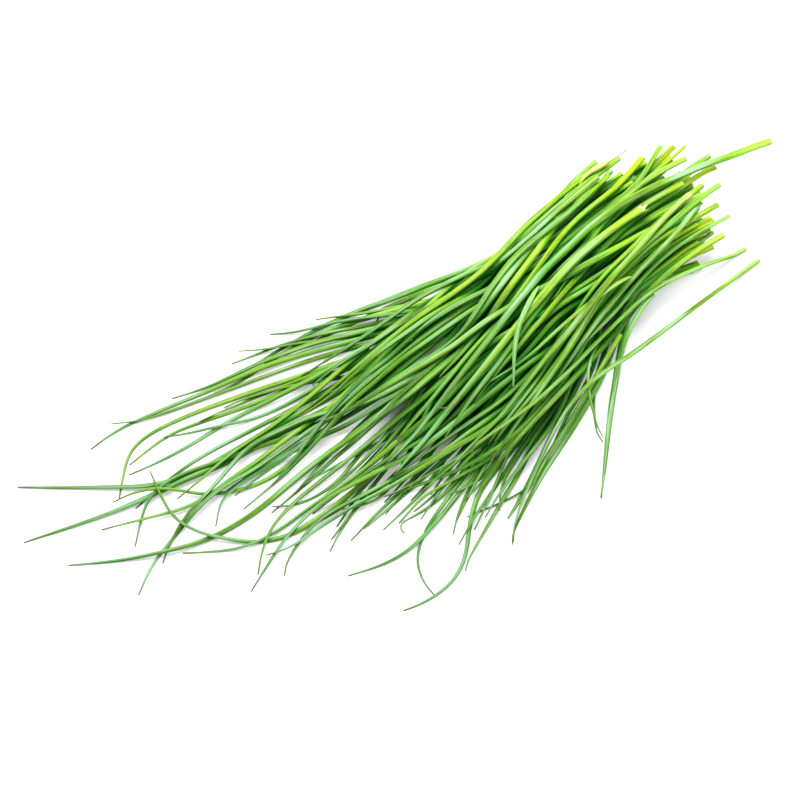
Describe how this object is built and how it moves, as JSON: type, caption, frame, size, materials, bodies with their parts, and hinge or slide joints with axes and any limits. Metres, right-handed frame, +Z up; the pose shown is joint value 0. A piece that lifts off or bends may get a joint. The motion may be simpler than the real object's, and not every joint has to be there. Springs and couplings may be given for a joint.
{
  "type": "chive bunch",
  "caption": "Loose bunch of fresh cut chives lying on its side: slim hollow leaves gathered at their pale cut ends and fanning out to fine curling tips.",
  "frame": {"origin": "middle of the bunch's footprint, on the surface it lies on", "axes": "+X along the bunch towards the cut ends, tips towards -X, +Z up"},
  "size_m": [0.3068, 0.1316, 0.0259],
  "materials": {
    "leaf_deep": "satin leaf skin, dark mature green",
    "leaf_fresh": "satin leaf skin, mid green",
    "leaf_bright": "satin leaf skin, light yellow-green",
    "leaf_blue": "satin leaf skin, blue-green with a waxy bloom",
    "leaf_pale": "satin leaf skin, pale, half dried"
  },
  "bodies": {
    "root": {"blue_leaf_1": "leaf_blue", "blue_leaf_2": "leaf_blue", "blue_leaf_3": "leaf_blue", "blue_leaf_4": "leaf_blue", "blue_leaf_5": "leaf_blue", "blue_leaf_6": "leaf_blue", "blue_leaf_7": "leaf_blue", "blue_leaf_8": "leaf_blue", "blue_shoot_1": "leaf_blue", "blue_shoot_2": "leaf_blue", "blue_shoot_3": "leaf_blue", "blue_shoot_4": "leaf_blue", "blue_shoot_5": "leaf_blue", "bright_leaf_1": "leaf_bright", "bright_leaf_2": "leaf_bright", "bright_leaf_3": "leaf_bright", "bright_leaf_4": "leaf_bright", "bright_leaf_5": "leaf_bright", "bright_leaf_6": "leaf_bright", "bright_leaf_7": "leaf_bright", "bright_shoot_1": "leaf_bright", "bright_shoot_2": "leaf_bright", "bright_shoot_3": "leaf_bright", "bright_shoot_4": "leaf_bright", "deep_leaf_1": "leaf_deep", "deep_leaf_2": "leaf_deep", "deep_leaf_3": "leaf_deep", "deep_leaf_4": "leaf_deep", "deep_leaf_5": "leaf_deep", "deep_leaf_6": "leaf_deep", "deep_leaf_7": "leaf_deep", "deep_leaf_8": "leaf_deep", "deep_leaf_9": "leaf_deep", "deep_shoot_1": "leaf_deep", "deep_shoot_2": "leaf_deep", "deep_shoot_3": "leaf_deep", "deep_shoot_4": "leaf_deep", "deep_shoot_5": "leaf_deep", "deep_shoot_6": "leaf_deep", "deep_shoot_7": "leaf_deep", "fresh_leaf_1": "leaf_fresh", "fresh_leaf_2": "leaf_fresh", "fresh_leaf_3": "leaf_fresh", "fresh_leaf_4": "leaf_fresh", "fresh_leaf_5": "leaf_fresh", "fresh_leaf_6": "leaf_fresh", "fresh_leaf_7": "leaf_fresh", "fresh_leaf_8": "leaf_fresh", "fresh_leaf_9": "leaf_fresh", "fresh_shoot_1": "leaf_fresh", "fresh_shoot_2": "leaf_fresh", "fresh_shoot_3": "leaf_fresh", "fresh_shoot_4": "leaf_fresh", "fresh_shoot_5": "leaf_fresh", "fresh_shoot_6": "leaf_fresh", "fresh_shoot_7": "leaf_fresh", "pale_leaf_1": "leaf_pale", "pale_leaf_2": "leaf_pale", "pale_leaf_3": "leaf_pale", "pale_leaf_4": "leaf_pale"}
  },
  "joints": []
}
